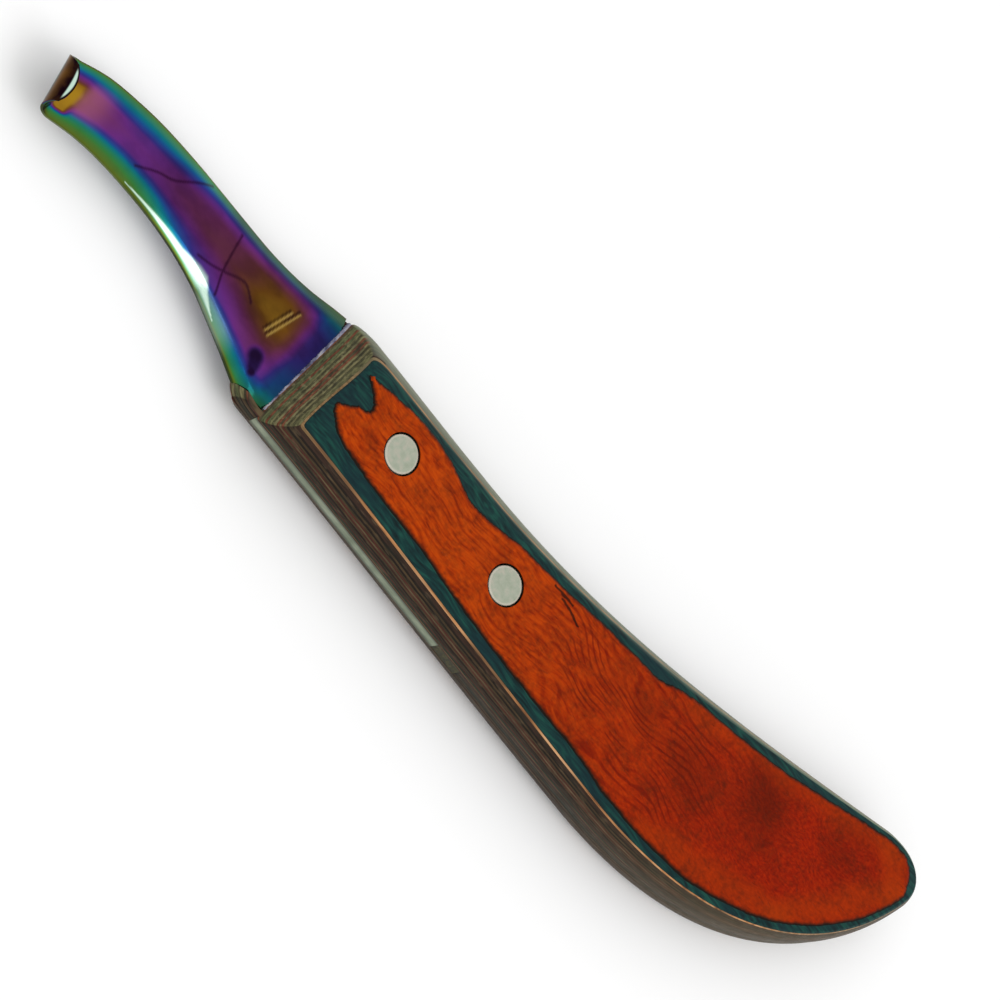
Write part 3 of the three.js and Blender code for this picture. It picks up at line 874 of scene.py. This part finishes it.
# Where a painted highlight lies on the low bevel: half the width of the bright band, by x, in millimetres.
BRIGHT_BAND_REACH = [
    (-96, 0.0), (-76, 0.0), (-72, 0.12), (-66, 0.3), (-61, 0.42), (-57, 0.85), (-55, 0.95), (-53, 0.5),
    (-51, 0.2), (-49, 0.0), (-33, 0.0),
]  # fmt: skip
BAND_FROM_EDGE = 0.5
BLADE_WIDTHS = [
    (-94, 10.9), (-81, 12.1), (-68, 12.7), (-56, 14.4), (-50, 16.1), (-45, 18.2), (-40, 20.9), (-33, 23.8),
]  # fmt: skip

# The dark spot near the low edge: points along it and how far the darkness spreads from each.
DARK_SPOT = [((-40.5, -6.7), 2.3), ((-40.1, -7.4), 2.0), ((-39.8, -8.1), 1.6), ((-39.4, -8.9), 1.1)]

# How far the phase has gone from the middle's toward the edge's, by share of the way to the edge.
TIP_PHASE_ACROSS = [(0, 0), (0.3, 0.04), (0.52, 0.26), (0.65, 0.4), (0.8, 0.58), (0.92, 0.74), (1, 0.97)]
ROOT_PHASE_HIGH = [
    (0, 0), (0.4, 0.03), (0.6, 0.14), (0.74, 0.3), (0.83, 0.5), (0.9, 0.6), (0.96, 0.7), (1, 0.92),
]  # fmt: skip
ROOT_PHASE_LOW = [
    (0, 0), (0.12, 0.015), (0.3, 0.08), (0.45, 0.15), (0.68, 0.21), (0.8, 0.38), (0.88, 0.56), (0.94, 0.7),
    (1, 0.97),
]  # fmt: skip
GOLD_PHASE = 0.01
BLUE_PHASE = 0.34
OLIVE_PHASE = 0.87
EDGE_PHASE = 0.95

# Painted reflection bands on the hook's outer surface: how dark each is, from where the roll starts to its
# end.
OUTER_HOOK_SHADE = [(0, 0.2), (0.45, 0.3), (0.52, 0.5), (0.6, 0.45), (0.74, 0.8), (0.84, 0.97), (1, 0.97)]


def table(pairs, value):
    places, results = zip(*sorted(pairs))
    return np.interp(value, places, results)


def section_top(across, width, thickness, bevel):
    """Height of the top above the flat back: two bevels and a shallow hollow between them."""
    w = np.minimum(across, 1 - across) * width / bevel
    rise = 1 - np.log1p(np.exp(BEVEL_CRISPNESS * (1 - w))) / BEVEL_CRISPNESS
    middle = np.clip(np.abs(2 * across - 1) * width / (width - 2 * bevel), 0, 1)
    return lerp(EDGE_THICKNESS, thickness, rise) - HOLLOW_DEPTH * (1 - middle**2)


def near_line(points, line, reach):
    """1 on the line and 0 beyond reach, for points in plan."""
    dense = open_spline(line, np.linspace(0, 1, 60))
    gap = np.sqrt(((points[:, None, :2] - dense[None]) ** 2).sum(2)).min(1)
    return 1 - smoothstep(gap, 0.25 * reach, reach)


def blade_grid():
    """Top and back points of each station, with how far across and round the hook each one is."""
    across = (1 - np.cos(np.linspace(0, math.pi, ACROSS_SAMPLES))) / 2
    across = 0.5 * across + 0.5 * np.linspace(0, 1, ACROSS_SAMPLES)
    tops, backs, turns = [], [], []
    for t in np.linspace(0, 1, BLADE_STATIONS):
        low, high = open_spline(LOW_EDGE, t), open_spline(HIGH_EDGE, t)
        width = np.linalg.norm(high - low)
        thickness = lerp(TANG_THICKNESS, TIP_THICKNESS, t**1.5)
        top = section_top(across, width, thickness, lerp(BEVEL_WIDTH, TIP_BEVEL_WIDTH, t))
        plan = low + (high - low) * across[:, None]
        tops.append(np.column_stack([plan, TANG_BOTTOM_Z + top]))
        backs.append(np.column_stack([plan, np.full(len(across), TANG_BOTTOM_Z)]))
        turns.append(np.zeros(len(across)))
    low, high = open_spline(LOW_EDGE, 1), open_spline(HIGH_EDGE, 1)
    width = np.linalg.norm(high - low)
    off = 2 * across - 1
    sideways = (high - low) / width
    forward = np.array([-sideways[1], sideways[0]])
    base = section_top(across, width, TIP_THICKNESS, TIP_BEVEL_WIDTH)
    for t in np.linspace(0, 1, HOOK_STATIONS)[1:]:
        turn = t * (HOOK_TURN - HOOK_CORNER_CUT * off**2)
        narrowing = lerp(1, HOOK_END_WIDTH, t**1.5)
        share = (1 + off * narrowing) / 2 - HOOK_END_SHIFT * t**1.5
        plan = low + (high - low) * share[:, None]
        ground = smoothstep(t, 0.9, 1.0) * 0.35
        for radius, kept in ((HOOK_RADIUS - base * lerp(1, 0.5, t**3), tops), (HOOK_RADIUS - ground, backs)):
            reach = radius * np.sin(turn)
            z = TANG_BOTTOM_Z + HOOK_RADIUS - radius * np.cos(turn)
            kept.append(np.column_stack([plan + forward * reach[:, None], z]))
        turns.append(np.full(len(across), t))
    return across, np.array(tops), np.array(backs), np.array(turns)


def grid_mesh(name, tops, backs):
    """A closed strip from two equal grids of points that meet round their borders by a thin wall."""
    stations, count = tops.shape[:2]
    points = np.concatenate([tops.reshape(-1, 3), backs.reshape(-1, 3)]) * MM
    back = stations * count
    faces = []
    for s in range(stations - 1):
        for i in range(count - 1):
            a, b = s * count + i, s * count + i + 1
            c, d = b + count, a + count
            faces.append((a, d, c, b))
            faces.append((back + a, back + b, back + c, back + d))
        for i, flip in ((0, False), (count - 1, True)):
            a, d = s * count + i, (s + 1) * count + i
            quad = (a, back + a, back + d, d)
            faces.append(quad[::-1] if flip else quad)
    for s, flip in ((0, True), (stations - 1, False)):
        for i in range(count - 1):
            a, b = s * count + i, s * count + i + 1
            quad = (a, b, back + b, back + a)
            faces.append(quad if flip else quad[::-1])
    mesh = bpy.data.meshes.new(name)
    mesh.from_pydata(points.tolist(), [], faces)
    return mesh


def film_values(points, across, turn, on_top):
    """Phase, painted shade, painted-highlight share and rose share of the film at each point."""
    x = points[:, 0]
    off = 2 * across - 1
    on_strip = on_top * (turn == 0)
    hooked = smoothstep(turn, 0.02, 0.3)
    centre = 0.16 * smoothstep(x, -56, -46)
    from_centre = np.abs(off - centre) / np.where(off > centre, 1 - centre, 1 + centre)

    # Phase: bands across the blade, olive on the tip's low side, gold beside the hook, then the hook.
    start = table(PHASE_ALONG, x)
    low_side, high_side = table(ROOT_PHASE_LOW, from_centre), table(ROOT_PHASE_HIGH, from_centre)
    root_phase = np.where(off < centre, low_side, high_side)
    tip_phase = table(TIP_PHASE_ACROSS, from_centre)
    phase = start + (1 - start) * lerp(tip_phase, root_phase, smoothstep(x, -76, -56))
    olive = smoothstep(-off, 0.45, 0.95) * smoothstep(-x, 63, 79)
    phase = lerp(phase, OLIVE_PHASE, 0.75 * olive)
    gold = (1 - smoothstep(x, -90.9, -89.3)) * smoothstep(-off, -0.3, 0.0)
    gold = gold * (1 - smoothstep(-off, 0.62, 0.82))
    phase = lerp(phase, GOLD_PHASE, gold * on_top)
    inner_hook = lerp(0.03, 0.24, smoothstep(turn, 0.1, 0.6))
    inner_hook = lerp(inner_hook, EDGE_PHASE, smoothstep(from_centre, 0.6, 1))
    outer_hook = np.where(turn < 0.52, 0.9, 0.06)
    on_back = lerp(phase, outer_hook, smoothstep(turn, 0.0, 0.25))
    phase = np.where(on_top, lerp(phase, inner_hook, hooked), on_back)

    # Painted shade for darker reflections and shadow: along the middle, low beside the handle, inside the
    # hook, and painted reflection bands outside it.
    spread = lerp(0.35, 0.62, smoothstep(x, -39, -36))
    shade = table(SHADE_ALONG, x) * (1 - smoothstep(from_centre, spread, spread + 0.36))
    shade = np.maximum(shade, 0.5 * smoothstep(x, -41, -36.5) * smoothstep(-off, 0.62, 0.85) * on_top)
    inner_shade = lerp(shade, 0.35, smoothstep(turn, 0.3, 0.7))
    outer_shade = lerp(shade, table(OUTER_HOOK_SHADE, turn), turn > 0)
    shade = np.where(on_top, inner_shade, outer_shade)

    # The dark spot, and painted shade on the hook's edges and along the high edge.
    dark_spot = np.zeros(len(x))
    for place, reach in DARK_SPOT:
        gap = np.hypot(*(points[:, :2] - place).T)
        dark_spot = np.maximum(dark_spot, 1 - smoothstep(gap, 0.35 * reach, reach))
    dark_spot = dark_spot * on_strip
    shade = np.maximum(shade, 0.8 * dark_spot)
    phase = lerp(phase, BLUE_PHASE, dark_spot)
    hook_edge = smoothstep(from_centre, 0.7, 1.0) * hooked
    shade = np.maximum(shade, 0.6 * hook_edge)
    shade = np.maximum(shade, 0.65 * smoothstep(off, 0.52, 0.85) * smoothstep(x, -66, -54) * on_strip)

    # Painted highlights in a pale bare-steel colour: a crescent on the hook's ground end, the bright band on
    # the low bevel and a faint patch beside it.
    crescent = 0.87 + 0.1 * off**2
    ground = smoothstep(turn, crescent, crescent + 0.025) * (1 - smoothstep(turn, 0.945, 0.965)) * ~on_top
    ground = ground * (1 - smoothstep(np.abs(off + 0.05), 0.55, 0.85))
    reach = table(BRIGHT_BAND_REACH, x)
    from_band = np.abs(across * table(BLADE_WIDTHS, x) - BAND_FROM_EDGE - reach)
    band = (1 - smoothstep(from_band, 0.3 * reach, 1.5 * reach + 0.01)) * (reach > 0.02)
    faint = 0.2 * smoothstep(x, -56, -52) * (1 - smoothstep(x, -48, -43)) * smoothstep(-off, 0.72, 0.84)
    bare = np.maximum(ground * 0.9, 0.95 * np.maximum(band, faint) * on_strip)

    # Rose along the middle, next to the hook.
    rose = (1 - smoothstep(x, -88.5, -83)) * (1 - smoothstep(from_centre, 0.3, 0.7)) * 0.42
    rose = rose * on_strip * smoothstep(x, -90.6, -88.8)
    return phase, shade, bare, rose


# Painted reflections: fine dark lines drawn into the film.
REFLECTED_LINES = [
    [(-76, -2.2), (-72.5, 0.2), (-69.5, 1.6), (-66.5, 4.4), (-63.8, 6.6)],
    [(-55.2, 4.8), (-54.4, 1), (-53.6, -2.2), (-52.2, -5.4)],
    [(-58.6, -3.4), (-56, -2.7), (-53.4, -1.6), (-49.8, 0), (-46.8, -1.4)],
]
REFLECTED_LINE_REACH = 0.36

# Two low ridges near the handle: how far toward the tip each one lies, its height and its ends in y.
RIDGES = [(0.0, 0.16, -2.8, 4.0), (0.95, 0.12, -2.6, 3.0)]
RIDGE_X = -40.2
RIDGE_Y = 1.2
RIDGE_SLOPE = 0.28
RIDGE_WIDTH = 0.26

# How far a ridge's painted highlight lies from its painted shadow.
RIDGE_SHADOW = np.array([0.45, -0.12])


def add_blade():
    """The coated steel blade, with its two ridges and the values that colour its film, painted shade,
    highlights and reflections among them.
    """
    across, tops, backs, turns = blade_grid()
    x, y = tops[..., 0], tops[..., 1]
    ridge_at = RIDGE_X + RIDGE_SLOPE * (y - RIDGE_Y)
    spans_middle = smoothstep(y, -4.2, -2.6) * (1 - smoothstep(y, 5.0, 6.6))
    ridge_lines = []
    for offset, height, low_end, high_end in RIDGES:
        rise = np.exp(-(((x - ridge_at + offset) / RIDGE_WIDTH) ** 2))
        tops[..., 2] += height * rise * spans_middle * (turns == 0)
        ends = (low_end, 1.0, high_end)
        ridge_lines.append([(RIDGE_X - offset + RIDGE_SLOPE * (end - RIDGE_Y), end) for end in ends])
    mesh = grid_mesh("coated_blade", tops, backs)
    top_points, back_points = tops.reshape(-1, 3), backs.reshape(-1, 3)
    all_across, turn = np.tile(across, len(tops)), turns.reshape(-1)
    values = []
    for points, on_top in ((top_points, True), (back_points, False)):
        values.append(film_values(points, all_across, turn, np.full(len(points), on_top)))
    # The third value, ground, holds the painted highlights.
    phase, shade, ground, rose = (np.concatenate(pair) for pair in zip(*values))
    top_count = len(top_points)
    hair = np.zeros(2 * top_count)
    flat = turn == 0
    for line in REFLECTED_LINES:
        near = near_line(top_points, line, REFLECTED_LINE_REACH) * flat
        hair[:top_count] = np.maximum(hair[:top_count], 0.75 * near)
    # Painted highlight and painted shadow along each ridge: a bright gold line and a dark line beside it.
    for line in ridge_lines:
        bright = 0.8 * near_line(top_points, line, 0.3) * flat
        painted_ridge_shadow = near_line(top_points, np.array(line) - RIDGE_SHADOW, 0.5) * flat * (1 - bright)
        shade[:top_count] = np.maximum(shade[:top_count] * (1 - bright), 0.75 * painted_ridge_shadow)
        phase[:top_count] *= 1 - bright
        ground[:top_count] = np.maximum(ground[:top_count], 0.07 * bright)
    add_point_values(mesh, film_phase=phase, film_shade=shade, bare_share=ground)
    add_point_values(mesh, hairline=hair, rose_share=rose)
    new_piece("coated_blade", mesh, FILM, ["blade"], sharp_degrees=40)


def add_tang():
    """The flat tang, flush with the handle's sides and ending in an arc past the rear rivet."""
    loop = outline_at(TANG_TOP_Z, "upper")
    sides = loop[loop[:, 0] <= TANG_SIDE_END_X]
    turning = int(np.argmax(np.abs(np.diff(sides[:, 1])) > 5)) + 1
    low_run, high_run = sides[:turning], sides[turning:]
    start, end = low_run[-1], high_run[0]
    control = np.array([2 * TANG_END_X - TANG_SIDE_END_X, (HANDLE_LOW_Y + HANDLE_HIGH_Y) / 2])
    t = np.linspace(0, 1, 30)[1:-1, None]
    arc = start * (1 - t) ** 2 + 2 * control * t * (1 - t) + end * t**2
    plan = np.concatenate([low_run, arc, high_run])
    levels = [(TANG_BOTTOM_Z + TANG_GAP, plan), (TANG_TOP_Z - TANG_GAP, plan)]
    mesh = stack_mesh("bare_tang", levels, HOLES)
    new_piece("bare_tang", mesh, BARE_STEEL)
    add_slot_glue(start, arc, end)


def add_slot_glue(start, arc, end):
    """Dark glue that fills what is left of the slot, a little below the handle's sides."""
    sunk, clear = np.array([0, 0.06]), np.array([TANG_GAP, 0])
    back_x = SLOT_END_X - TANG_GAP
    low_end, high_end = np.array([back_x, start[1]]), np.array([back_x, end[1]])
    behind = [start + sunk + clear, low_end + sunk, high_end - sunk, end - sunk + clear]
    loop = np.concatenate([behind, (arc + clear)[::-1]])
    levels = [(TANG_BOTTOM_Z + TANG_GAP, loop), (TANG_TOP_Z - TANG_GAP, loop)]
    new_piece("slot_glue", stack_mesh("slot_glue", levels), DARK_GLUE)


add_blade()
add_tang()
add_glue_line()
add_splinter()

# ---- floor, light and camera ----


FLOOR_SIZE = 6.0
FLOOR_Z = -0.0002


def add_floor():
    bpy.ops.mesh.primitive_plane_add(size=FLOOR_SIZE, location=(0, 0, FLOOR_Z))
    floor = bpy.context.object
    floor.name = "floor"
    s = Shader("pale_floor", roughness=0.9)
    floor.data.materials.append(s.finish(rgb("fbfbfb")))


# The camera's own axes in the frame, the point it looks at and how wide a view it takes.
CAMERA_RIGHT = Vector((0.583, 0.5803, 0.5687)).normalized()
CAMERA_UP = Vector((-0.7392, 0.6692, 0.0749)).normalized()
CAMERA_BACK = CAMERA_RIGHT.cross(CAMERA_UP).normalized()
VIEW_CENTRE = Vector((3.61, 8.54, THICKNESS)) * MM
VIEW_WIDTH = 153.8 * MM
LENS = 1500.0
SENSOR = 36.0


def add_camera():
    data = bpy.data.cameras.new("camera")
    data.lens = LENS
    data.sensor_width = SENSOR
    camera = bpy.data.objects.new("camera", data)
    bpy.context.scene.collection.objects.link(camera)
    up = CAMERA_BACK.cross(CAMERA_RIGHT)
    turn = Matrix((CAMERA_RIGHT, up, CAMERA_BACK)).transposed().to_4x4()
    distance = VIEW_WIDTH * LENS / SENSOR
    camera.matrix_world = Matrix.Translation(VIEW_CENTRE + CAMERA_BACK * distance) @ turn
    bpy.context.scene.camera = camera


def add_area_light(name, target, direction, distance, size, power, only_reflected=False):
    """A card of light that either lights matt surfaces or shows only in polished ones."""
    data = bpy.data.lights.new(name, "AREA")
    data.shape = "RECTANGLE"
    data.size, data.size_y = size
    data.energy = power
    light = bpy.data.objects.new(name, data)
    bpy.context.scene.collection.objects.link(light)
    light.visible_diffuse = not only_reflected
    light.visible_glossy = only_reflected
    away = Vector(direction).normalized()
    light.location = Vector(target) * MM + away * distance
    light.rotation_euler = away.to_track_quat("Z", "Y").to_euler()


def mirror_direction(normal):
    """Where a light must stand to show in a mirror with that normal, seen from the camera."""
    n = Vector(normal).normalized()
    return 2 * CAMERA_BACK.dot(n) * n - CAMERA_BACK


# The way the blade's low bevel faces where it shines, and the even light from all round.
BEVEL_FACING = (-0.075, -0.535, 0.842)
SKY_STRENGTH = 0.9


def add_lights():
    world = bpy.data.worlds.new("studio")
    world.use_nodes = True
    background = world.node_tree.nodes["Background"]
    background.inputs["Color"].default_value = (1, 1, 1, 1)
    background.inputs["Strength"].default_value = SKY_STRENGTH
    bpy.context.scene.world = world
    shining = mirror_direction(BEVEL_FACING)
    add_area_light("bevel_card", (-60, -6, 6), shining, 0.6, (0.12, 0.24), power=0.13, only_reflected=True)
    add_area_light("soft_top", (0, 0, 0), (0.9, -0.5, 1.4), 1.6, (1.0, 1.0), power=7)


add_floor()
add_camera()
add_lights()
bpy.context.scene.view_settings.view_transform = "Standard"
